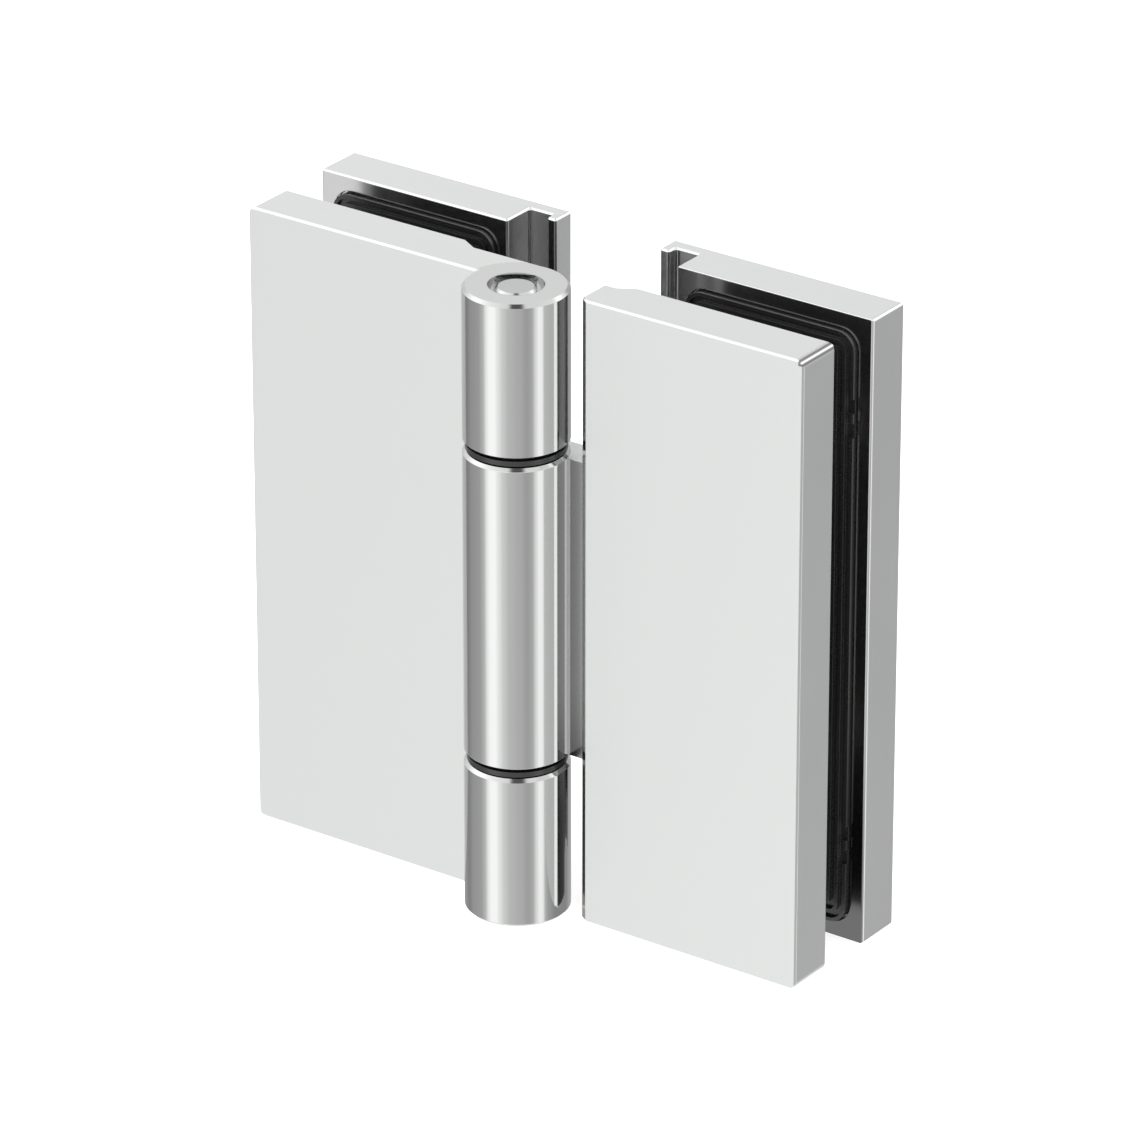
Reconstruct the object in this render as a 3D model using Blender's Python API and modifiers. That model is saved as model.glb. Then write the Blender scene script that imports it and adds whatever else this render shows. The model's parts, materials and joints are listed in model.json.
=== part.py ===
"""Glass-to-glass door hinge: two clamping leaves on a three-knuckle barrel.

Metres, +Z up along the hinge axis, X across the leaves, the shown faces towards -Y.
The hinge stands on its lower end faces, closed flat, with both leaves in line.
"""

import math

import bmesh
import bpy

MM = 0.001

# Overall
HEIGHT = 100 * MM
HALF_WIDTH = 49 * MM

# Depths, measured from the hinge axis towards the back (+Y)
FRONT_FACE = 0.9 * MM
FRONT_BACK = 9.0 * MM
WEB_BACK = 7.4 * MM
REAR_FACE = 18.7 * MM
REAR_BACK = 26.8 * MM

# Barrel
BARREL_RADIUS = 7.9 * MM
BARREL_CLEARANCE = 0.5 * MM
KNUCKLE_CHAMFER = 0.5 * MM
KNUCKLE_SPLITS = (HEIGHT / 4, HEIGHT * 3 / 4)
WASHER_THICKNESS = 0.8 * MM
WASHER_RADIUS = 7.5 * MM
FACE_GAP = 0.25 * MM
KNUCKLE_GAP = WASHER_THICKNESS + 2 * FACE_GAP

# Pin and bushes
PIN_RADIUS = 3.05 * MM
PIN_FIT = 0.06 * MM
PIN_END_RECESS = 0.3 * MM
PIN_CHAMFER = 0.4 * MM
PIN_RELIEF_RADIUS = 4.15 * MM
PIN_RELIEF_DEPTH = 1.6 * MM
BUSH_RADIUS = 4.4 * MM
BUSH_LENGTH = 13 * MM

# Plate outlines, as distances from the hinge axis along X
DOOR_PLATE_EDGE = 10.3 * MM
DOOR_PLATE_BEVEL_WIDTH = 1.3 * MM
DOOR_PLATE_BEVEL_DEPTH = 0.9 * MM
STEP_OUTER = 15.1 * MM
STEP_INNER = 12.4 * MM
NOTCH_EDGE = 7.2 * MM
WEB_FRONT = 1.9 * MM
WEB_INSET = 0.2 * MM
CORNER_RADIUS = 1.5 * MM
EDGE_BREAK = 0.3 * MM

# Rear plate's seal groove and hooked lip
LIP_EDGE = 9.2 * MM
HOOK_WIDTH = 1.7 * MM
HOOK_FRONT = 22.8 * MM
GROOVE_FLOOR = 24.4 * MM
GROOVE_EDGE = 15.0 * MM

# Gaskets, seated in shallow pockets of the plates
POCKET_DEPTH = 0.8 * MM
POCKET_MARGIN = 2.4 * MM
POCKET_INNER = 16.8 * MM
POCKET_RADIUS = 3.2 * MM
SEAT_GAP = 0.25 * MM
GASKET_THICKNESS = 1.4 * MM
RIB_HEIGHT = 0.6 * MM
RIB_WIDTH = 0.6 * MM
RIB_PITCH = 1.4 * MM
RIB_GROOVES = 3
RIB_GAP_HEIGHT = 2.2 * MM
RIB_NUB_HEIGHT = 1.6 * MM
RIB_GAP_OFFSET = 0.342 * HEIGHT

# Clamp screws (M6 countersunk, hexagon socket) and their sleeves through the glass
SCREW_HEIGHTS = {"lower": HEIGHT / 4, "upper": HEIGHT * 3 / 4}
SCREW_RADIUS = 3.0 * MM
SCREW_FIT = 0.12 * MM
SCREW_HEAD_RADIUS = 5.7 * MM
SCREW_HEAD_RIM = 0.5 * MM
SCREW_HEAD_RECESS = 0.3 * MM
SCREW_TIP = 3.9 * MM
SCREW_HOLE_FLOOR = 3.4 * MM
SCREW_CHAMFER = 0.6 * MM
SOCKET_RADIUS = 2.3 * MM
SOCKET_DEPTH = 2.6 * MM
SLEEVE_RADIUS = 5.0 * MM
SLEEVE_BORE = 3.3 * MM
GASKET_HOLE_RADIUS = 5.4 * MM

# Pin-locking set screws (M4), radial from the back of the end knuckles
SET_SCREW_HEIGHTS = {"lower": HEIGHT / 8, "upper": HEIGHT * 7 / 8}
SET_SCREW_RADIUS = 2.0 * MM
SET_SCREW_FIT = 0.1 * MM
SET_SCREW_START = PIN_RADIUS + 0.12 * MM
SET_SCREW_LENGTH = 3.6 * MM
SET_SOCKET_RADIUS = 1.15 * MM
SET_SOCKET_DEPTH = 1.5 * MM

# Origin: centre of the footprint, so the hinge axis lies in front of it
AXIS_Y = -(REAR_BACK - BARREL_RADIUS) / 2

ROUND_STEPS = 90
SMALL_ROUND_STEPS = 40
CORNER_STEPS = 6
# Keeps an arc's ends just off the faces that it blends into.
ARC_LIFT = 0.02 * MM
WELD_DISTANCE = 1e-6
OVERRUN = 1 * MM

POCKET_OUTER = HALF_WIDTH - POCKET_MARGIN
POCKET_CENTRE = (POCKET_INNER + POCKET_OUTER) / 2
POCKET_WIDTH = POCKET_OUTER - POCKET_INNER
POCKET_HEIGHT = HEIGHT - 2 * POCKET_MARGIN

STEEL = ((0.72, 0.73, 0.73), 0.28, 1.0)
BARREL_STEEL = ((0.68, 0.69, 0.69), 0.2, 1.0)
PIN_STEEL = ((0.75, 0.75, 0.74), 0.25, 1.0)
FASTENER_STEEL = ((0.5, 0.5, 0.5), 0.35, 1.0)
RUBBER = ((0.015, 0.015, 0.016), 0.6, 0.0)
POLYMER = ((0.03, 0.032, 0.03), 0.45, 0.0)
CLEAR_NYLON = ((0.7, 0.7, 0.66), 0.4, 0.0)
BRONZE = ((0.55, 0.38, 0.18), 0.35, 1.0)


def clear_scene():
    for obj in list(bpy.data.objects):
        bpy.data.objects.remove(obj)


def new_collection(name):
    collection = bpy.data.collections.new(name)
    bpy.context.scene.collection.children.link(collection)
    return collection


def bake(obj):
    """The object's mesh with its modifiers applied."""
    bpy.context.view_layer.update()
    graph = bpy.context.evaluated_depsgraph_get()
    return bpy.data.meshes.new_from_object(obj.evaluated_get(graph))


def weld(mesh):
    shape = bmesh.new()
    shape.from_mesh(mesh)
    bmesh.ops.remove_doubles(shape, verts=shape.verts, dist=WELD_DISTANCE)
    bmesh.ops.recalc_face_normals(shape, faces=shape.faces)
    shape.to_mesh(mesh)
    shape.free()


def shade_smooth_by_angle(mesh, angle=math.radians(30)):
    mesh.shade_smooth()
    mesh.set_sharp_from_angle(angle=angle)


def outline_solid(name, outlines, bottom, top):
    """A solid of flat outlines in XY, standing between two heights."""
    curve = bpy.data.curves.new(name, "CURVE")
    curve.dimensions = "2D"
    curve.fill_mode = "BOTH"
    curve.extrude = (top - bottom) / 2
    for points in outlines:
        spline = curve.splines.new("POLY")
        spline.points.add(len(points) - 1)
        for point, (x, y) in zip(spline.points, points):
            point.co = (x, y, 0, 1)
        spline.use_cyclic_u = True
    source = bpy.data.objects.new(name + "_outline", curve)
    CUTTERS.objects.link(source)
    mesh = bake(source)
    bpy.data.objects.remove(source)
    bpy.data.curves.remove(curve)
    for vert in mesh.vertices:
        vert.co.z += (top + bottom) / 2
    weld(mesh)
    solid = bpy.data.objects.new(name, mesh)
    CUTTERS.objects.link(solid)
    return solid


def turned_solid(name, profile, closed=False, steps=ROUND_STEPS):
    """A turned solid about Z from (radius, z) points that run down its outer side."""
    mesh = bpy.data.meshes.new(name)
    count = len(profile)
    edges = [(i, i + 1) for i in range(count - 1)]
    if closed:
        edges.append((count - 1, 0))
    mesh.from_pydata([(radius, 0, z) for radius, z in profile], edges, [])
    solid = bpy.data.objects.new(name, mesh)
    CUTTERS.objects.link(solid)
    screw = solid.modifiers.new("turn", "SCREW")
    screw.steps = steps
    screw.render_steps = steps
    screw.use_merge_vertices = True
    screw.merge_threshold = WELD_DISTANCE
    screw.use_normal_calculate = True
    solid.data = bake(solid)
    solid.modifiers.clear()
    weld(solid.data)
    return solid


def rod_profile(radius, bottom, top, chamfer=0.0):
    """Profile of a plain rod with optional end chamfers."""
    if not chamfer:
        return [(0, top), (radius, top), (radius, bottom), (0, bottom)]
    return [
        (0, top),
        (radius - chamfer, top),
        (radius, top - chamfer),
        (radius, bottom + chamfer),
        (radius - chamfer, bottom),
        (0, bottom),
    ]


def ring_profile(outer, inner, bottom, top):
    return [(outer, top), (outer, bottom), (inner, bottom), (inner, top)]


def block(name, low, high):
    """A box between two corners, as a cutter or a joining piece."""
    shape = bmesh.new()
    bmesh.ops.create_cube(shape, size=1)
    for vert in shape.verts:
        for axis in range(3):
            middle = (low[axis] + high[axis]) / 2
            vert.co[axis] = middle + vert.co[axis] * (high[axis] - low[axis])
    mesh = bpy.data.meshes.new(name)
    shape.to_mesh(mesh)
    shape.free()
    solid = bpy.data.objects.new(name, mesh)
    CUTTERS.objects.link(solid)
    return solid


def rounded_rectangle(width, height, radius):
    """Points of a rounded rectangle about the origin."""
    points = []
    corners = ((1, 1), (-1, 1), (-1, -1), (1, -1))
    for quarter, (side_x, side_y) in enumerate(corners):
        centre_x = side_x * (width / 2 - radius)
        centre_y = side_y * (height / 2 - radius)
        for step in range(CORNER_STEPS + 1):
            angle = math.pi / 2 * (quarter + step / CORNER_STEPS)
            x = centre_x + radius * math.cos(angle)
            y = centre_y + radius * math.sin(angle)
            points.append((x, y))
    return points


def combine(solid, tool, operation):
    """Leave a live Boolean on the solid, with its tool in the cutters' collection."""
    boolean = solid.modifiers.new(tool.name, "BOOLEAN")
    boolean.operation = operation
    boolean.solver = "EXACT"
    boolean.object = tool
    tool.hide_render = True
    tool.display_type = "WIRE"


def cut(solid, tool):
    combine(solid, tool, "DIFFERENCE")


def join(solid, tool):
    combine(solid, tool, "UNION")


def break_edges(solid, width=EDGE_BREAK):
    bevel = solid.modifiers.new("edge_break", "BEVEL")
    bevel.width = width
    bevel.segments = 1
    bevel.limit_method = "ANGLE"
    bevel.angle_limit = math.radians(40)


def round_outer_corners(solid, side):
    """Round the two corners of the outer end, seen square on to the plate."""
    for level, end_z, up in (("lower", 0, -1), ("upper", HEIGHT, 1)):
        inset = CORNER_RADIUS - ARC_LIFT
        centre_x = side * (HALF_WIDTH - inset)
        centre_z = end_z - up * inset
        beyond_x = side * (HALF_WIDTH + OVERRUN)
        beyond_z = end_z + up * OVERRUN
        outline = [(centre_x, beyond_z), (beyond_x, beyond_z), (beyond_x, centre_z)]
        for step in range(CORNER_STEPS + 1):
            angle = math.pi / 2 * step / CORNER_STEPS
            x = centre_x + side * CORNER_RADIUS * math.cos(angle)
            z = centre_z + up * CORNER_RADIUS * math.sin(angle)
            outline.append((x, z))
        name = solid.name + "_corner_" + level
        waste = outline_solid(name, [outline], -FRONT_BACK - OVERRUN, OVERRUN)
        waste.rotation_euler = (math.pi / 2, 0, 0)
        cut(solid, waste)


def finish_node(solid, name, parent, surface):
    """Move a finished solid to the part's collection, under its leaf."""
    CUTTERS.objects.unlink(solid)
    PART.objects.link(solid)
    solid.name = name
    solid.data.name = name
    solid.parent = parent
    solid.data.materials.clear()
    solid.data.materials.append(new_material(name, surface))
    shade_smooth_by_angle(solid.data)
    for modifier in solid.modifiers:
        tool = getattr(modifier, "object", None)
        if tool:
            tool.parent = parent
    return solid


def place_copy(mesh, name, parent, surface, location, turn=(0, 0, 0)):
    """One named piece that shares a mesh with its fellows."""
    piece = bpy.data.objects.new(name, mesh)
    PART.objects.link(piece)
    piece.parent = parent
    piece.location = location
    piece.rotation_euler = turn
    if not mesh.materials:
        mesh.materials.append(None)
    piece.material_slots[0].link = "OBJECT"
    piece.material_slots[0].material = new_material(name, surface)
    return piece


def shared_mesh(solid, name):
    """Bake a master solid to a mesh for repeated pieces and drop the master."""
    mesh = bake(solid)
    mesh.name = name
    weld(mesh)
    shade_smooth_by_angle(mesh)
    bpy.data.objects.remove(solid)
    return mesh


def new_material(name, surface):
    colour, roughness, metallic = surface
    material = bpy.data.materials.new(name)
    material.use_nodes = True
    shader = material.node_tree.nodes["Principled BSDF"]
    shader.inputs["Base Color"].default_value = (*colour, 1)
    shader.inputs["Roughness"].default_value = roughness
    shader.inputs["Metallic"].default_value = metallic
    material.diffuse_color = (*colour, 1)
    return material


def knuckle(name, bottom, top):
    profile = rod_profile(BARREL_RADIUS, bottom, top, KNUCKLE_CHAMFER)
    return turned_solid(name, profile)


def front_plate(name, outline, side):
    """A full-height plate from its plan outline, with broken edges."""
    solid = outline_solid(name, [outline], 0, HEIGHT)
    break_edges(solid)
    round_outer_corners(solid, side)
    return solid


def cut_gasket_pocket(solid, side, face):
    """Sink a shallow pocket into a plate's inner face."""
    outline = rounded_rectangle(POCKET_WIDTH, POCKET_HEIGHT, POCKET_RADIUS)
    pocket = outline_solid(solid.name + "_pocket", [outline], -POCKET_DEPTH, POCKET_DEPTH)
    pocket.rotation_euler = (math.pi / 2, 0, 0)
    pocket.location = (side * POCKET_CENTRE, face, HEIGHT / 2)
    cut(solid, pocket)


def cut_front_screw_holes(solid, side):
    """Blind threaded holes, bored from the plate's inner face."""
    radius = SCREW_RADIUS + SCREW_FIT
    for level, height in SCREW_HEIGHTS.items():
        profile = rod_profile(radius, SCREW_HOLE_FLOOR, FRONT_BACK + OVERRUN)
        hole = turned_solid(solid.name + "_hole_" + level, profile, steps=SMALL_ROUND_STEPS)
        hole.rotation_euler = (-math.pi / 2, 0, 0)
        hole.location = (side * POCKET_CENTRE, 0, height)
        cut(solid, hole)


def cut_rear_screw_holes(solid, side):
    """Clearance holes with countersinks that match the screw heads."""
    radius = SCREW_RADIUS + SCREW_FIT
    head = SCREW_HEAD_RADIUS + SCREW_FIT
    sink_top = REAR_BACK - SCREW_HEAD_RECESS - SCREW_HEAD_RIM
    sink_depth = head - radius
    profile = [
        (0, REAR_BACK + OVERRUN),
        (head, REAR_BACK + OVERRUN),
        (head, sink_top),
        (radius, sink_top - sink_depth),
        (radius, REAR_FACE - OVERRUN),
        (0, REAR_FACE - OVERRUN),
    ]
    for level, height in SCREW_HEIGHTS.items():
        hole = turned_solid(solid.name + "_hole_" + level, profile, steps=SMALL_ROUND_STEPS)
        hole.rotation_euler = (-math.pi / 2, 0, 0)
        hole.location = (side * POCKET_CENTRE, 0, height)
        cut(solid, hole)


def build_fixed_front_plate(leaf):
    """Left plate with the two end knuckles; its edge clears the middle knuckle."""
    outline = [
        (-HALF_WIDTH, FRONT_FACE),
        (0, FRONT_FACE),
        (0, WEB_BACK),
        (-STEP_INNER, WEB_BACK),
        (-STEP_OUTER, FRONT_BACK),
        (-HALF_WIDTH, FRONT_BACK),
    ]
    solid = front_plate("left_front_plate", outline, -1)
    low_top = KNUCKLE_SPLITS[0] - KNUCKLE_GAP / 2
    high_bottom = KNUCKLE_SPLITS[1] + KNUCKLE_GAP / 2
    notch_low = low_top - WEB_INSET
    notch_high = high_bottom + WEB_INSET
    notch_radius = BARREL_RADIUS + BARREL_CLEARANCE
    cut(solid, turned_solid("notch_round", rod_profile(notch_radius, notch_low, notch_high)))
    corner = (-NOTCH_EDGE, -BARREL_RADIUS, notch_low)
    cut(solid, block("notch_square", corner, (OVERRUN, FRONT_BACK, notch_high)))
    join(solid, knuckle("lower_end_knuckle", 0, low_top))
    join(solid, knuckle("upper_end_knuckle", high_bottom, HEIGHT))
    cut(solid, end_knuckle_bore())
    for level, height in SET_SCREW_HEIGHTS.items():
        profile = rod_profile(SET_SCREW_RADIUS + SET_SCREW_FIT, 0, BARREL_RADIUS + OVERRUN)
        hole = turned_solid("set_screw_hole_" + level, profile, steps=SMALL_ROUND_STEPS)
        hole.rotation_euler = (-math.pi / 2, 0, 0)
        hole.location = (0, 0, height)
        cut(solid, hole)
    cut_gasket_pocket(solid, -1, FRONT_BACK)
    cut_front_screw_holes(solid, -1)
    return finish_node(solid, "left_front_plate", leaf, STEEL)


def end_knuckle_bore():
    """Pin bore right through, relieved to a wider ring at both ends of the barrel."""
    bore = PIN_RADIUS + PIN_FIT
    profile = [
        (0, HEIGHT + OVERRUN),
        (PIN_RELIEF_RADIUS, HEIGHT + OVERRUN),
        (PIN_RELIEF_RADIUS, HEIGHT - PIN_RELIEF_DEPTH),
        (bore, HEIGHT - PIN_RELIEF_DEPTH),
        (bore, PIN_RELIEF_DEPTH),
        (PIN_RELIEF_RADIUS, PIN_RELIEF_DEPTH),
        (PIN_RELIEF_RADIUS, -OVERRUN),
        (0, -OVERRUN),
    ]
    return turned_solid("pin_bore", profile)


def build_door_front_plate(leaf):
    """Right plate with the middle knuckle on a short recessed web."""
    outline = [
        (DOOR_PLATE_EDGE + DOOR_PLATE_BEVEL_WIDTH, FRONT_FACE),
        (HALF_WIDTH, FRONT_FACE),
        (HALF_WIDTH, FRONT_BACK),
        (STEP_OUTER, FRONT_BACK),
        (STEP_INNER, WEB_BACK),
        (DOOR_PLATE_EDGE, WEB_BACK),
        (DOOR_PLATE_EDGE, FRONT_FACE + DOOR_PLATE_BEVEL_DEPTH),
    ]
    solid = front_plate("right_front_plate", outline, 1)
    cut_gasket_pocket(solid, 1, FRONT_BACK)
    cut_front_screw_holes(solid, 1)
    bottom = KNUCKLE_SPLITS[0] + KNUCKLE_GAP / 2
    top = KNUCKLE_SPLITS[1] - KNUCKLE_GAP / 2
    web_low = (PIN_RADIUS, WEB_FRONT, bottom + KNUCKLE_CHAMFER)
    web_high = (STEP_INNER, WEB_BACK - WEB_INSET, top - KNUCKLE_CHAMFER)
    join(solid, block("middle_web", web_low, web_high))
    join(solid, knuckle("middle_knuckle", bottom, top))
    bore = rod_profile(BUSH_RADIUS + PIN_FIT, bottom - OVERRUN, top + OVERRUN)
    cut(solid, turned_solid("bush_bore", bore))
    return finish_node(solid, "right_front_plate", leaf, STEEL)


def build_rear_plate(leaf, name, side):
    """Clamping plate with a seal groove and hooked lip along its hinge-side edge."""
    outline = [
        (GROOVE_EDGE, REAR_FACE),
        (HALF_WIDTH, REAR_FACE),
        (HALF_WIDTH, REAR_BACK),
        (LIP_EDGE, REAR_BACK),
        (LIP_EDGE, HOOK_FRONT),
        (LIP_EDGE + HOOK_WIDTH, HOOK_FRONT),
        (LIP_EDGE + HOOK_WIDTH, GROOVE_FLOOR),
        (GROOVE_EDGE, GROOVE_FLOOR),
    ]
    solid = outline_solid(name, [[(side * x, y) for x, y in outline]], 0, HEIGHT)
    break_edges(solid)
    cut_gasket_pocket(solid, side, REAR_FACE)
    cut_rear_screw_holes(solid, side)
    return finish_node(solid, name, leaf, STEEL)


def gasket_mesh():
    """Ribbed rubber pad lying in XY, its ribs towards +Z, base on z = 0."""
    width = POCKET_WIDTH - 2 * SEAT_GAP
    height = POCKET_HEIGHT - 2 * SEAT_GAP
    corner = POCKET_RADIUS - SEAT_GAP
    pad = outline_solid("pad", [rounded_rectangle(width, height, corner)], 0, GASKET_THICKNESS)
    rib_foot = GASKET_THICKNESS - RIB_HEIGHT
    for ring in range(RIB_GROOVES):
        outer_inset = RIB_WIDTH + ring * RIB_PITCH
        inner_inset = (ring + 1) * RIB_PITCH
        outlines = []
        for inset in (outer_inset, inner_inset):
            radius = max(corner - inset, RIB_WIDTH)
            outlines.append(rounded_rectangle(width - 2 * inset, height - 2 * inset, radius))
        rib_top = GASKET_THICKNESS + OVERRUN
        cut(pad, outline_solid("rib_groove_%d" % ring, outlines, rib_foot, rib_top))
    for index, height_sign in enumerate((-1, 1)):
        centre = height_sign * RIB_GAP_OFFSET
        for half in (-1, 1):
            near = centre + half * RIB_NUB_HEIGHT / 2
            far = near + half * RIB_GAP_HEIGHT
            low = (width / 2 - RIB_PITCH, min(near, far), rib_foot)
            high = (width / 2 + OVERRUN, max(near, far), GASKET_THICKNESS + OVERRUN)
            cut(pad, block("rib_gap_%d_%d" % (index, half), low, high))
        profile = rod_profile(GASKET_HOLE_RADIUS, -OVERRUN, GASKET_THICKNESS + OVERRUN)
        hole = turned_solid("gasket_hole_%d" % index, profile, steps=SMALL_ROUND_STEPS)
        hole.location.y = height_sign * (SCREW_HEIGHTS["upper"] - HEIGHT / 2)
        cut(pad, hole)
    return shared_mesh(pad, "gasket")


def clamp_screw_mesh():
    """Countersunk screw along Z, with its depths those of its place along Y."""
    head_top = REAR_BACK - SCREW_HEAD_RECESS
    cone_top = head_top - SCREW_HEAD_RIM
    cone_bottom = cone_top - (SCREW_HEAD_RADIUS - SCREW_RADIUS)
    profile = [
        (0, head_top),
        (SCREW_HEAD_RADIUS, head_top),
        (SCREW_HEAD_RADIUS, cone_top),
        (SCREW_RADIUS, cone_bottom),
        (SCREW_RADIUS, SCREW_TIP + SCREW_CHAMFER),
        (SCREW_RADIUS - SCREW_CHAMFER, SCREW_TIP),
        (0, SCREW_TIP),
    ]
    screw = turned_solid("clamp_screw", profile, steps=SMALL_ROUND_STEPS)
    socket = rod_profile(SOCKET_RADIUS, head_top - SOCKET_DEPTH, head_top + OVERRUN)
    cut(screw, turned_solid("clamp_socket", socket, steps=6))
    return shared_mesh(screw, "clamp_screw")


def set_screw_mesh():
    profile = rod_profile(SET_SCREW_RADIUS, 0, SET_SCREW_LENGTH, PIN_CHAMFER)
    screw = turned_solid("set_screw", profile, steps=SMALL_ROUND_STEPS)
    bottom = SET_SCREW_LENGTH - SET_SOCKET_DEPTH
    socket = rod_profile(SET_SOCKET_RADIUS, bottom, SET_SCREW_LENGTH + OVERRUN)
    cut(screw, turned_solid("set_socket", socket, steps=6))
    return shared_mesh(screw, "set_screw")


def sleeve_mesh():
    bottom = FRONT_BACK - POCKET_DEPTH + SEAT_GAP
    top = REAR_FACE + POCKET_DEPTH - SEAT_GAP
    profile = ring_profile(SLEEVE_RADIUS, SLEEVE_BORE, bottom, top)
    sleeve = turned_solid("sleeve", profile, closed=True, steps=SMALL_ROUND_STEPS)
    return shared_mesh(sleeve, "glass_sleeve")


def build_clamping(leaf, side_name, side, meshes):
    """Gaskets, sleeves and screws of one leaf."""
    along_y = (-math.pi / 2, 0, 0)
    front_seat = FRONT_BACK - POCKET_DEPTH + SEAT_GAP
    rear_seat = REAR_FACE + POCKET_DEPTH - SEAT_GAP
    x = side * POCKET_CENTRE
    middle = HEIGHT / 2
    # The rib gaps lie at the outer edge, so each gasket is turned to face and side.
    outward = 0 if side > 0 else math.pi
    front_turn = (-math.pi / 2, outward, 0)
    rear_turn = (math.pi / 2, outward, 0)
    front_name = side_name + "_front_gasket"
    rear_name = side_name + "_rear_gasket"
    place_copy(meshes["gasket"], front_name, leaf, RUBBER, (x, front_seat, middle), front_turn)
    place_copy(meshes["gasket"], rear_name, leaf, RUBBER, (x, rear_seat, middle), rear_turn)
    for level, height in SCREW_HEIGHTS.items():
        place = (x, 0, height)
        sleeve_name = side_name + "_glass_sleeve_" + level
        screw_name = side_name + "_clamp_screw_" + level
        place_copy(meshes["sleeve"], sleeve_name, leaf, CLEAR_NYLON, place, along_y)
        place_copy(meshes["screw"], screw_name, leaf, FASTENER_STEEL, place, along_y)


def build_barrel_parts(fixed_leaf, door_leaf):
    """Pin, thrust washers, bushes and the set screws that lock the pin."""
    pin_profile = rod_profile(PIN_RADIUS, PIN_END_RECESS, HEIGHT - PIN_END_RECESS, PIN_CHAMFER)
    pin = turned_solid("hinge_pin", pin_profile)
    finish_node(pin, "hinge_pin", fixed_leaf, PIN_STEEL)

    bore = PIN_RADIUS + PIN_FIT
    washer_profile = ring_profile(WASHER_RADIUS, bore, -WASHER_THICKNESS / 2, WASHER_THICKNESS / 2)
    washer = shared_mesh(turned_solid("washer", washer_profile, closed=True), "thrust_washer")
    bush_profile = ring_profile(BUSH_RADIUS, bore, -BUSH_LENGTH / 2, BUSH_LENGTH / 2)
    bush_solid = turned_solid("bush", bush_profile, closed=True, steps=ROUND_STEPS)
    bush = shared_mesh(bush_solid, "bush")
    bush_offset = KNUCKLE_GAP / 2 + SEAT_GAP + BUSH_LENGTH / 2
    for level, split, inward in (("lower", KNUCKLE_SPLITS[0], 1), ("upper", KNUCKLE_SPLITS[1], -1)):
        place_copy(washer, level + "_thrust_washer", fixed_leaf, POLYMER, (0, 0, split))
        bush_place = (0, 0, split + inward * bush_offset)
        place_copy(bush, level + "_bush", door_leaf, BRONZE, bush_place)

    set_screw = set_screw_mesh()
    for level, height in SET_SCREW_HEIGHTS.items():
        place = (0, SET_SCREW_START, height)
        turn = (-math.pi / 2, 0, 0)
        place_copy(set_screw, level + "_pin_set_screw", fixed_leaf, FASTENER_STEEL, place, turn)


def leaf_empty(name):
    """An empty on the hinge axis that carries one leaf."""
    empty = bpy.data.objects.new(name, None)
    empty.location = (0, AXIS_Y, 0)
    PART.objects.link(empty)
    return empty


def build():
    fixed_leaf = leaf_empty("fixed_leaf")
    door_leaf = leaf_empty("door_leaf")
    build_fixed_front_plate(fixed_leaf)
    build_door_front_plate(door_leaf)
    meshes = {"gasket": gasket_mesh(), "screw": clamp_screw_mesh(), "sleeve": sleeve_mesh()}
    for leaf, side_name, side in ((fixed_leaf, "left", -1), (door_leaf, "right", 1)):
        build_rear_plate(leaf, side_name + "_rear_plate", side)
        build_clamping(leaf, side_name, side, meshes)
    build_barrel_parts(fixed_leaf, door_leaf)


clear_scene()
PART = new_collection("glass_door_hinge")
CUTTERS = new_collection("cutters")
build()
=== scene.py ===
"""Looks for the glass door hinge: smooth shading and fine edge rounding on the CAD nodes, procedural
materials, a pale studio and the camera of the photograph."""

import json
import math

import bpy
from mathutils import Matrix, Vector

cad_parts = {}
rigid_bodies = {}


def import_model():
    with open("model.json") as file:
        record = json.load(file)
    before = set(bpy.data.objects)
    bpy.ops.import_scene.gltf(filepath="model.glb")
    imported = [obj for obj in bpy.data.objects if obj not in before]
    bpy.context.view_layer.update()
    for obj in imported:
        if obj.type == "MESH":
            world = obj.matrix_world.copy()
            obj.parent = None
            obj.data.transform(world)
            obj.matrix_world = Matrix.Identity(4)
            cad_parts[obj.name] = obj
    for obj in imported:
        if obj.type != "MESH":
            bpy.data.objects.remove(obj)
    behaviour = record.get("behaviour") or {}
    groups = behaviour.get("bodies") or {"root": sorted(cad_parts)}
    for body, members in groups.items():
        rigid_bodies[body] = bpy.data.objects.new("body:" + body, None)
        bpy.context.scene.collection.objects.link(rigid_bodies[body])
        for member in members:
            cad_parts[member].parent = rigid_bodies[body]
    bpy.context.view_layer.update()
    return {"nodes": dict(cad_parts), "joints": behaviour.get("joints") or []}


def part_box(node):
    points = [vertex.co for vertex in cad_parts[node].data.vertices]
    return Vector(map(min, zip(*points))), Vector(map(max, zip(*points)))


for leftover in list(bpy.data.objects):
    bpy.data.objects.remove(leftover)

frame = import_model()
NODES = frame["nodes"]
MM = 0.001

# The frame says where things are.
AXIS = Vector(frame["joints"][0]["pos_m"])
BARREL_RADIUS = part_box("left_front_plate")[1].x
PIN_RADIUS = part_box("hinge_pin")[1].x
HOOK_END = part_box("right_rear_plate")[0].x
GASKET_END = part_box("right_rear_gasket")[0].x
DOOR_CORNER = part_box("right_front_plate")[1]
DOOR_EDGE = HOOK_END + 1.1 * MM

# The photograph's viewing direction, in degrees, and its lens.
CAMERA_AZIMUTH = 35.4
CAMERA_ELEVATION = 25.16
CAMERA_LENS = 256.0
CAMERA_SENSOR = 36.0
CAMERA_DISTANCE = 1184 * MM
CAMERA_TARGET = Vector((0.55 * MM, 2.25 * MM, 50.94 * MM))
CLIP_NEAR = 0.01
CLIP_FAR = 100.0

# Shading of the CAD meshes.
WELD_DISTANCE = 0.002 * MM
FLAT_ANGLE = math.radians(0.4)
SHARP_ANGLE = math.radians(25)
EDGE_ROUNDING = 0.05 * MM
PLATE_ROUNDING = 0.1 * MM
ROUNDING_SEGMENTS = 3
FACE_WEIGHT = 100

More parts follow.
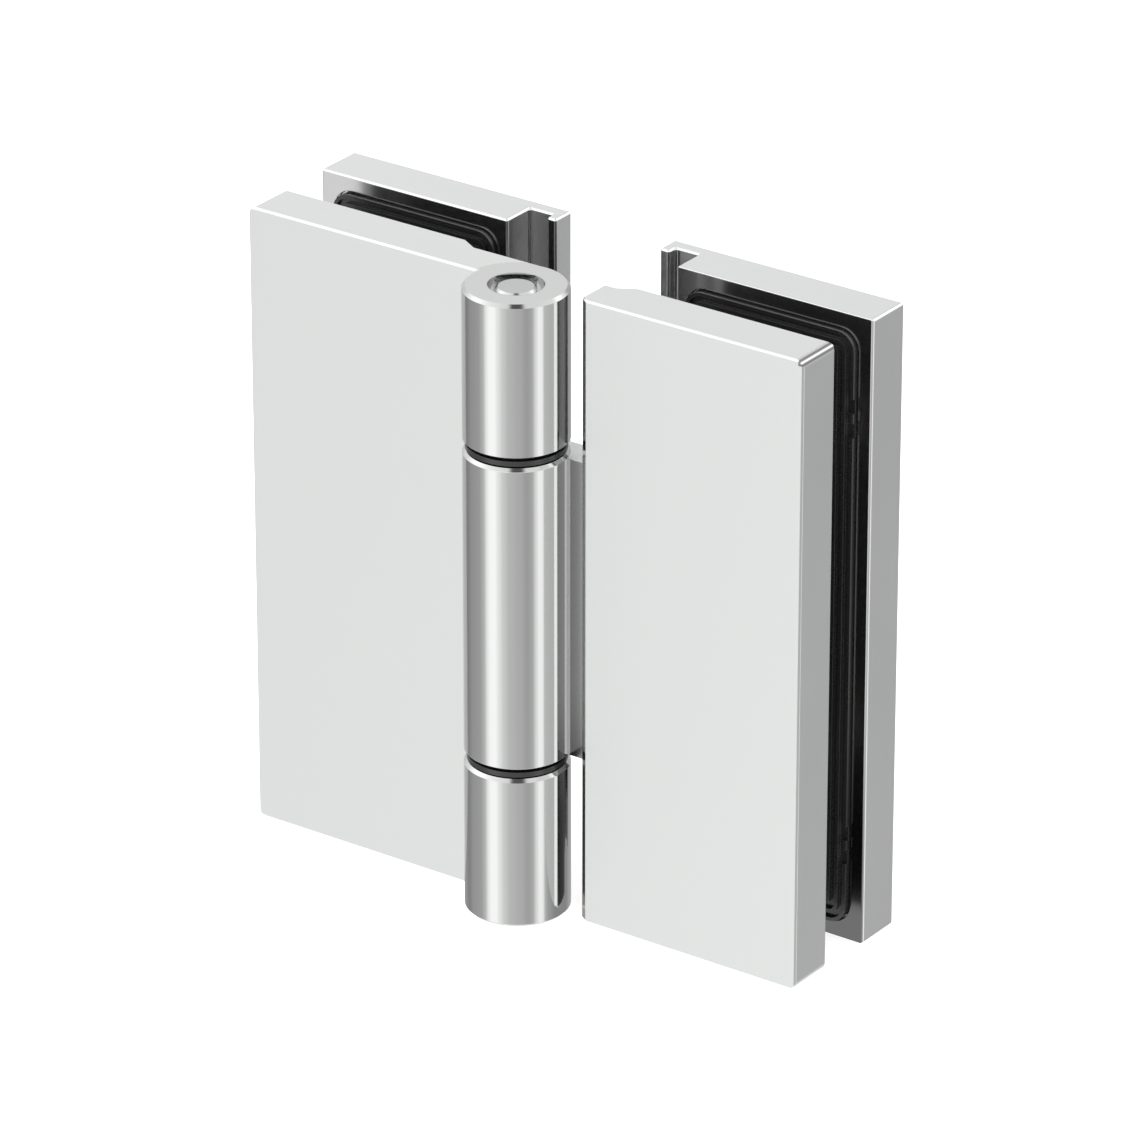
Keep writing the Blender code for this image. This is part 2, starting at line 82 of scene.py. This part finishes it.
# How square to an axis a face must look to count as facing it: not at all, then fully.
FACING = (0.6, 0.9)
UPRIGHT = (0.3, 0.6)
ROUNDED = (0.80, 0.985)

# Where the finish and the painted shade of the plates change: radii round the hinge axis, places across
# X, then heights.
POLISH_LIMITS = (BARREL_RADIUS + 0.02 * MM, BARREL_RADIUS + 0.25 * MM)
# The recess limits bound a ring of painted shade round the pin.
RECESS_SHADE_LIMITS = (PIN_RADIUS + 1.15 * MM, PIN_RADIUS + 1.3 * MM)
WEB_LIMITS = (BARREL_RADIUS + 0.1 * MM, DOOR_EDGE + 0.15 * MM)
GROOVE_LIMITS = (HOOK_END + 0.2 * MM, GASKET_END - 1.6 * MM)
STRIP_START_FADE = 0.3 * MM
STRIP_END_FADE = 0.4 * MM
# Painted shadow near the floor: the inner faces darken between these heights, down to this share of their
# tone.
FOOT_SHADOW_LIMITS = (12 * MM, 40 * MM)
FOOT_SHADOW_SHARE = 0.2

# Two painted dark reflection lines beside the top outer edge of the door's front plate.
REFLECTION_LINE_OFFSET = 0.7 * MM
REFLECTION_LINE_LIMITS = (0.1 * MM, 0.26 * MM)
REFLECTION_LINE_DEPTH = 1.0 * MM

# Brightness of the steels, and of the painted shade and painted dark reflection lines on the plates.
PLATE_TONE = (0.895, 0.91, 0.9)
BARREL_TONE = (0.715, 0.725, 0.715)
# Painted shade in the recess round the pin.
RECESS_SHADE_TONE = (0.6, 0.6, 0.6)
# Painted dark reflection lines beside the door plate's top outer edge.
REFLECTION_LINE_TONE = (0.3, 0.3, 0.3)
# Painted shade on the inner faces between the plates: on the door's front plate, then on the rear plates.
FRONT_INNER_SHADE_TONE = 0.45
REAR_INNER_SHADE_TONE = 0.85
WORN_EDGE_GAIN = 1.2

# Roughness, from the smoothest patches of a finish to the roughest.
SATIN = (0.44, 0.48)
MACHINED = (0.15, 0.2)
POLISHED = (0.08, 0.13)
EDGE_ROUGHNESS = 0.13
GRAIN_SPREAD = 0.03
TURNED_SPREAD = 0.02

# Noise: how many features there are in a metre.
PLATE_GRAIN = 5200.0
PLATE_CLOUD = 38.0
POLISH_MARKS = 900.0
ALONG_PIN = (1.0, 1.0, 0.02)
TURNED_GRAIN = 2600.0
TURNED_CLOUD = 120.0
BLACK_CLOUD = 90.0
NYLON_GRAIN = 1500.0
NYLON_CLOUD = 150.0

FLOOR_HALF = 6.0
FLOOR_TONE = (0.9, 0.9, 0.9, 1.0)
FLOOR_GLOW = 0.75
WHITE = (1.0, 1.0, 1.0, 1.0)


# The Mix node's sockets for share, first and second, for numbers and for colours.
NUMBER_SOCKETS = (0, 2, 3)
COLOUR_SOCKETS = (0, 6, 7)
NUMBER_RESULT = 0
COLOUR_RESULT = 2


# --- Node helpers -----------------------------------------------------------------------------


def fill(tree, socket, value):
    """Puts a number or a colour in a node's socket, or links another node's output to it."""
    if isinstance(value, bpy.types.NodeSocket):
        tree.links.new(value, socket)
    else:
        socket.default_value = value


def math_node(tree, operation, *values):
    node = tree.nodes.new("ShaderNodeMath")
    node.operation = operation
    for socket, value in zip(node.inputs, values):
        fill(tree, socket, value)
    return node.outputs[0]


def smooth_step(tree, source, start, end, low=0.0, high=1.0):
    """low where source is at start, high where it is at end, smooth between and level beyond."""
    node = tree.nodes.new("ShaderNodeMapRange")
    node.interpolation_type = "SMOOTHSTEP"
    for name, value in (("Value", source), ("From Min", start), ("From Max", end),
                        ("To Min", low), ("To Max", high)):
        fill(tree, node.inputs[name], value)
    return node.outputs["Result"]


def mix_colours(tree, share, first, second):
    """first where share is 0, second where it is 1."""
    node = tree.nodes.new("ShaderNodeMix")
    node.data_type = "RGBA"
    for index, value in zip(COLOUR_SOCKETS, (share, first, second)):
        fill(tree, node.inputs[index], value)
    return node.outputs[COLOUR_RESULT]


class Shader:
    """A material with one Principled shader and short calls that add nodes to it."""

    def __init__(self, name):
        self.material = bpy.data.materials.new(name)
        self.material.use_nodes = True
        self.tree = self.material.node_tree
        self.tree.nodes.clear()
        output = self.tree.nodes.new("ShaderNodeOutputMaterial")
        self.shader = self.tree.nodes.new("ShaderNodeBsdfPrincipled")
        self.tree.links.new(self.shader.outputs["BSDF"], output.inputs["Surface"])
        places = self.tree.nodes.new("ShaderNodeTexCoord")
        self.coordinates = places.outputs["Object"]
        self.normal = places.outputs["Normal"]

    def set(self, **values):
        for name, value in values.items():
            self.shader.inputs[name.replace("_", " ")].default_value = value

    def connect(self, source, name):
        self.tree.links.new(source, self.shader.inputs[name])

    def math(self, operation, *values):
        return math_node(self.tree, operation, *values)

    def noise(self, scale, detail, stretch=(1.0, 1.0, 1.0)):
        """A noise whose features are about 1/scale metres wide."""
        mapping = self.tree.nodes.new("ShaderNodeMapping")
        mapping.inputs["Scale"].default_value = stretch
        self.tree.links.new(self.coordinates, mapping.inputs["Vector"])
        node = self.tree.nodes.new("ShaderNodeTexNoise")
        node.inputs["Scale"].default_value = scale
        node.inputs["Detail"].default_value = detail
        node.inputs["Roughness"].default_value = 0.55
        self.tree.links.new(mapping.outputs["Vector"], node.inputs["Vector"])
        return node.outputs["Fac"]

    def between(self, source, low, high):
        """Spreads a noise, which runs from 0 to 1, smoothly from low to high."""
        return smooth_step(self.tree, source, 0.0, 1.0, low, high)

    def rising(self, source, limits):
        """0 up to the first limit, 1 from the second on."""
        return smooth_step(self.tree, source, *limits)

    def falling(self, source, limits):
        """1 up to the first limit, 0 from the second on."""
        return smooth_step(self.tree, source, *limits, 1.0, 0.0)

    def blend(self, share, first, second):
        """first where share is 0, second where it is 1; numbers or number sockets."""
        node = self.tree.nodes.new("ShaderNodeMix")
        node.data_type = "FLOAT"
        for index, value in zip(NUMBER_SOCKETS, (share, first, second)):
            fill(self.tree, node.inputs[index], value)
        return node.outputs[NUMBER_RESULT]

    def colours(self, share, first, second):
        """The same for colours: three numbers, or a colour socket."""
        whole = [(*colour, 1.0) if isinstance(colour, tuple) else colour for colour in (first, second)]
        return mix_colours(self.tree, share, *whole)

    def grey(self, level):
        """A neutral colour of the given brightness."""
        node = self.tree.nodes.new("ShaderNodeCombineColor")
        for name in ("Red", "Green", "Blue"):
            fill(self.tree, node.inputs[name], level)
        return node.outputs["Color"]

    def bump(self, height, distance, strength):
        node = self.tree.nodes.new("ShaderNodeBump")
        node.inputs["Strength"].default_value = strength
        node.inputs["Distance"].default_value = distance
        self.tree.links.new(height, node.inputs["Height"])
        self.connect(node.outputs["Normal"], "Normal")

    def parts(self, source):
        split = self.tree.nodes.new("ShaderNodeSeparateXYZ")
        self.tree.links.new(source, split.inputs[0])
        return split.outputs

    def edges(self):
        """0 on faces square to the axes, 1 on the chamfers and roundings between them."""
        sizes = [self.math("ABSOLUTE", part) for part in self.parts(self.normal)]
        largest = self.math("MAXIMUM", self.math("MAXIMUM", sizes[0], sizes[1]), sizes[2])
        return self.falling(largest, ROUNDED)

    def near_axis(self, limits):
        """1 within the first limit of the hinge axis, falling to 0 at the second."""
        place = self.parts(self.coordinates)
        offsets = [self.math("SUBTRACT", place["X"], AXIS.x), self.math("SUBTRACT", place["Y"], AXIS.y)]
        squares = [self.math("MULTIPLY", offset, offset) for offset in offsets]
        return self.falling(self.math("SQRT", self.math("ADD", *squares)), limits)


# --- Materials --------------------------------------------------------------------------------


def painted_reflection_lines(m, place):
    """Two painted dark reflection lines along the top outer edge of the door's front plate, one on either
    side of it, standing in for the dark reflections on its rounded corner.
    """
    along = m.math("SUBTRACT", DOOR_CORNER.x, place["X"])
    down = m.math("SUBTRACT", DOOR_CORNER.z, place["Z"])
    offset = m.math("SUBTRACT", m.math("MAXIMUM", along, down), REFLECTION_LINE_OFFSET)
    reflection_line = m.falling(m.math("ABSOLUTE", offset), REFLECTION_LINE_LIMITS)
    in_front = m.falling(place["Y"], (DOOR_CORNER.y, DOOR_CORNER.y + REFLECTION_LINE_DEPTH))
    return m.math("MULTIPLY", reflection_line, in_front)


def machined_and_shaded_faces(m, place, inner_side):
    """1 on the faces towards the glass, and on the door's web or in the rear plates' seal grooves: the
    mask both of the machined roughness and of the painted shade that falls between the plates.
    """
    facing = m.parts(m.normal)
    inward = m.rising(m.math("MULTIPLY", facing["Y"], inner_side), FACING)
    sheltered = m.falling(m.math("ABSOLUTE", facing["Z"]), UPRIGHT)
    if inner_side > 0:
        across = place["X"]
        start, end = WEB_LIMITS
    else:
        across = m.math("ABSOLUTE", place["X"])
        start, end = GROOVE_LIMITS
        sheltered = m.math("MULTIPLY", sheltered, m.falling(facing["Y"], FACING))
    beyond_start = m.rising(across, (start, start + STRIP_START_FADE))
    before_end = m.falling(across, (end, end + STRIP_END_FADE))
    strip = m.math("MULTIPLY", beyond_start, before_end)
    return m.math("MAXIMUM", inward, m.math("MULTIPLY", strip, sheltered))


def stainless(name, inner_side, inner_shade_tone):
    """Satin plates with a polished barrel, machined inner faces carrying painted shade, and painted shade
    in the recess round the pin.
    inner_side is 1 where the inner faces look along +Y and -1 where they look along -Y, and the last
    argument is the brightness of the painted shade on the machined faces, darker towards the foot as a
    painted shadow near the floor."""
    m = Shader(name)
    m.set(Metallic=1.0)
    place = m.parts(m.coordinates)
    grain = m.noise(PLATE_GRAIN, 2.0)
    cloud = m.noise(PLATE_CLOUD, 3.0)
    marks = m.noise(POLISH_MARKS, 3.0, ALONG_PIN)
    polished = m.near_axis(POLISH_LIMITS)
    # Mask of the machined roughness and of the painted shade between the plates.
    machined_and_shaded = machined_and_shaded_faces(m, place, inner_side)
    satin = m.math("ADD", m.between(grain, -GRAIN_SPREAD, GRAIN_SPREAD), m.between(cloud, *SATIN))
    satin = m.blend(m.edges(), satin, EDGE_ROUGHNESS)
    satin = m.blend(machined_and_shaded, satin, m.between(grain, *MACHINED))
    m.connect(m.blend(polished, satin, m.between(marks, *POLISHED)), "Roughness")
    # Painted shade on the machined inner faces, darker towards the foot as a painted shadow near the
    # floor.
    inner = smooth_step(m.tree, place["Z"], *FOOT_SHADOW_LIMITS, FOOT_SHADOW_SHARE * inner_shade_tone, inner_shade_tone)
    tone = m.colours(machined_and_shaded, PLATE_TONE, m.grey(inner))
    # Painted dark reflection lines along the door plate's top outer edge.
    tone = m.colours(painted_reflection_lines(m, place), tone, REFLECTION_LINE_TONE)
    tone = m.colours(polished, tone, BARREL_TONE)
    # Painted shade in the recess round the pin.
    m.connect(m.colours(m.near_axis(RECESS_SHADE_LIMITS), tone, RECESS_SHADE_TONE), "Base Color")
    m.bump(m.blend(polished, grain, marks), 0.0012 * MM, 0.35)
    return m.material


def turned_steel(name, tone, smoothest, roughest):
    """Metal with a fine grain and slightly brighter edges."""
    m = Shader(name)
    m.set(Metallic=1.0)
    grain = m.noise(TURNED_GRAIN, 3.0)
    cloud = m.noise(TURNED_CLOUD, 3.0)
    spread = m.between(grain, -TURNED_SPREAD, TURNED_SPREAD)
    m.connect(m.math("ADD", m.between(cloud, smoothest, roughest), spread), "Roughness")
    bright = tuple(min(1.0, part * WORN_EDGE_GAIN) for part in tone)
    m.connect(m.colours(m.edges(), tone, bright), "Base Color")
    m.bump(grain, 0.002 * MM, 0.4)
    return m.material


def soft_black(name, tone, smoothest, roughest, grain_scale):
    """Black rubber or polymer: grainy, with a dull sheen that varies."""
    m = Shader(name)
    m.set(Metallic=0.0, IOR=1.55, Specular_IOR_Level=0.7)
    grain = m.noise(grain_scale, 4.0)
    cloud = m.noise(BLACK_CLOUD, 3.0)
    spread = m.between(grain, -GRAIN_SPREAD, GRAIN_SPREAD)
    m.connect(m.math("ADD", m.between(cloud, smoothest, roughest), spread), "Roughness")
    lighter = tuple(part * 1.8 for part in tone)
    share = m.math("ADD", m.math("MULTIPLY", m.edges(), 0.6), m.between(grain, 0.0, 0.25))
    m.connect(m.colours(share, tone, lighter), "Base Color")
    m.bump(grain, 0.004 * MM, 0.3)
    return m.material


def white_nylon():
    """Slightly cloudy white plastic for the sleeves."""
    m = Shader("white_nylon")
    m.set(Metallic=0.0, IOR=1.53, Subsurface_Weight=0.15, Subsurface_Scale=0.4 * MM)
    grain = m.noise(NYLON_GRAIN, 4.0)
    cloud = m.noise(NYLON_CLOUD, 3.0)
    spread = m.between(grain, -GRAIN_SPREAD, GRAIN_SPREAD)
    m.connect(m.math("ADD", m.between(cloud, 0.38, 0.5), spread), "Roughness")
    m.connect(m.colours(cloud, (0.80, 0.80, 0.77), (0.87, 0.87, 0.85)), "Base Color")
    m.bump(grain, 0.008 * MM, 0.4)
    return m.material


def shade(piece):
    """Removes the imported normals and makes every face smooth, so that the modifiers set the shading."""
    for name in ("custom_normal", "sharp_edge", "sharp_face"):
        attribute = piece.data.attributes.get(name)
        if attribute is not None:
            piece.data.attributes.remove(attribute)
    for face in piece.data.polygons:
        face.use_smooth = True


def round_edges(piece, rounding):
    """Joins the mesh along its seams, merges flat faces and rounds the sharp edges."""
    weld = piece.modifiers.new("weld", "WELD")
    weld.merge_threshold = WELD_DISTANCE
    flat = piece.modifiers.new("flat", "DECIMATE")
    flat.decimate_type = "DISSOLVE"
    flat.angle_limit = FLAT_ANGLE
    edges = piece.modifiers.new("edges", "BEVEL")
    edges.limit_method = "ANGLE"
    edges.angle_limit = SHARP_ANGLE
    edges.width = rounding
    edges.segments = ROUNDING_SEGMENTS
    edges.use_clamp_overlap = True
    edges.harden_normals = True
    normals = piece.modifiers.new("normals", "WEIGHTED_NORMAL")
    normals.keep_sharp = True
    normals.weight = FACE_WEIGHT


def dress(node, material):
    """Gives a CAD node its material, smooth round faces and finely rounded edges."""
    piece = NODES[node]
    piece.data.materials.clear()
    piece.data.materials.append(material)
    shade(piece)
    round_edges(piece, PLATE_ROUNDING if "plate" in node else EDGE_ROUNDING)


def dress_all():
    """Dresses each node in the finish whose key word is in its name."""
    front_steel = stainless("stainless_front", 1.0, FRONT_INNER_SHADE_TONE)
    rear_steel = stainless("stainless_rear", -1.0, REAR_INNER_SHADE_TONE)
    pin = turned_steel("pin_steel", (0.60, 0.61, 0.61), 0.16, 0.24)
    screws = turned_steel("screw_steel", (0.52, 0.52, 0.51), 0.24, 0.34)
    bronze = turned_steel("bush_bronze", (0.60, 0.42, 0.22), 0.28, 0.40)
    rubber = soft_black("black_rubber", (0.02, 0.02, 0.02), 0.22, 0.34, 2200.0)
    polymer = soft_black("black_polymer", (0.010, 0.010, 0.010), 0.26, 0.36, 3200.0)
    nylon = white_nylon()
    finishes = {
        "front_plate": (front_steel, "satin_stainless"),
        "rear_plate": (rear_steel, "satin_stainless"),
        "gasket": (rubber, "black_rubber"),
        "clamp_screw": (screws, "screw_steel"),
        "set_screw": (screws, "screw_steel"),
        "glass_sleeve": (nylon, "white_nylon"),
        "hinge_pin": (pin, "pin_steel"),
        "thrust_washer": (polymer, "black_polymer"),
        "bush": (bronze, "bush_bronze"),
    }
    for node in sorted(NODES):
        for word, (material, slot) in finishes.items():
            if word in node:
                dress(node, material)


# --- Studio -----------------------------------------------------------------------------------


def make_floor():
    """A pale floor, lit evenly enough to go to white as in the photograph."""
    mesh = bpy.data.meshes.new("floor")
    half = FLOOR_HALF
    corners = [(-half, -half, 0), (half, -half, 0), (half, half, 0), (-half, half, 0)]
    mesh.from_pydata(corners, [], [(0, 1, 2, 3)])
    floor = bpy.data.objects.new("floor", mesh)
    bpy.context.scene.collection.objects.link(floor)
    m = Shader("pale_floor")
    m.set(Roughness=0.8, Base_Color=FLOOR_TONE, Specular_IOR_Level=0.1)
    m.set(Emission_Color=WHITE, Emission_Strength=FLOOR_GLOW)
    mesh.materials.append(m.material)
    floor.visible_glossy = False


def world_bands():
    """Light by direction: radiance at azimuths round the object, at each of five elevations.
    Azimuths are in degrees, 0 towards the front of the hinge and 90 to its right."""
    nadir = [(-180, 1.0)]
    low = [(-180, 0.4), (-120, 0.35), (-95, 0.26), (-72, 0.38), (-52, 0.42), (-40, 0.58),
           (-30, 1.1), (-24, 1.28), (-12, 1.3), (-4, 1.05), (8, 0.78), (20, 0.62), (42, 0.54),
           (58, 0.44), (68, 0.5), (78, 0.95), (84, 1.2), (92, 1.15), (98, 0.55), (106, 0.4),
           (126, 0.28), (165, 0.28)]
    level = [(-180, 0.5), (-143, 0.7), (-100, 0.7), (-37, 0.72), (10, 0.85), (50, 0.5), (95, 0.8),
             (115, 0.45), (137, 0.3), (150, 0.35), (165, 0.45)]
    high = [(-180, 0.5), (-166, 0.3), (-150, 0.86), (-140, 0.92), (-110, 0.9), (-60, 1.6),
            (40, 1.45), (100, 1.0), (135, 1.0), (150, 1.6), (163, 1.1)]
    top = [(-180, 0.8), (-100, 0.8), (-30, 1.0), (5, 0.9), (22, 0.1), (52, 0.1), (70, 0.9),
           (120, 0.9)]
    return [(-60.0, nadir), (-24.0, low), (-2.0, level), (33.0, high), (64.0, top)]


def ramp(tree, turn, stops):
    """A smooth closed ramp of brightness over azimuth; turn runs from 0 at -180 to 1 at 180."""
    node = tree.nodes.new("ShaderNodeValToRGB")
    node.color_ramp.interpolation = "EASE"
    elements = node.color_ramp.elements
    while len(elements) > 1:
        elements.remove(elements[0])
    places = [((azimuth + 180.0) / 360.0, value) for azimuth, value in stops]
    places.append((1.0, stops[0][1]))
    elements[0].position = places[0][0]
    elements[0].color = (places[0][1],) * 3 + (1.0,)
    for position, value in places[1:]:
        element = elements.new(position)
        element.color = (value,) * 3 + (1.0,)
    tree.links.new(turn, node.inputs["Fac"])
    return node.outputs["Color"]


def make_world():
    """The soft studio that the metal reflects, one ramp round the object for each elevation."""
    world = bpy.data.worlds.new("studio")
    bpy.context.scene.world = world
    world.use_nodes = True
    tree = world.node_tree
    tree.nodes.clear()
    output = tree.nodes.new("ShaderNodeOutputWorld")
    background = tree.nodes.new("ShaderNodeBackground")
    coordinates = tree.nodes.new("ShaderNodeTexCoord")
    split = tree.nodes.new("ShaderNodeSeparateXYZ")
    tree.links.new(coordinates.outputs["Generated"], split.inputs[0])
    forwards = math_node(tree, "MULTIPLY", split.outputs["Y"], -1.0)
    angle = math_node(tree, "ARCTAN2", split.outputs["X"], forwards)
    turn = math_node(tree, "MULTIPLY_ADD", angle, 0.5 / math.pi, 0.5)
    bands = world_bands()
    heights = [math.sin(math.radians(elevation)) for elevation, stops in bands]
    colour = ramp(tree, turn, bands[0][1])
    for below, above, (elevation, stops) in zip(heights, heights[1:], bands[1:]):
        share = smooth_step(tree, split.outputs["Z"], below, above)
        colour = mix_colours(tree, share, colour, ramp(tree, turn, stops))
    tree.links.new(colour, background.inputs["Color"])
    background.inputs["Strength"].default_value = 1.0
    tree.links.new(background.outputs["Background"], output.inputs["Surface"])


def make_camera():
    """The photograph's camera, looking at the middle of the hinge from the right and above."""
    azimuth = math.radians(CAMERA_AZIMUTH)
    elevation = math.radians(CAMERA_ELEVATION)
    level = math.cos(elevation)
    back = Vector((math.sin(azimuth) * level, -math.cos(azimuth) * level, math.sin(elevation)))
    data = bpy.data.cameras.new("photo_camera")
    data.sensor_width = CAMERA_SENSOR
    data.lens = CAMERA_LENS
    data.clip_start = CLIP_NEAR
    data.clip_end = CLIP_FAR
    camera = bpy.data.objects.new("photo_camera", data)
    camera.location = CAMERA_TARGET + back * CAMERA_DISTANCE
    camera.rotation_mode = "QUATERNION"
    camera.rotation_quaternion = (-back).to_track_quat("-Z", "Y")
    bpy.context.scene.collection.objects.link(camera)
    bpy.context.scene.camera = camera


dress_all()
make_floor()
make_world()
make_camera()
scene = bpy.context.scene
scene.view_settings.view_transform = "Standard"
scene.view_settings.look = "None"
bpy.context.view_layer.update()
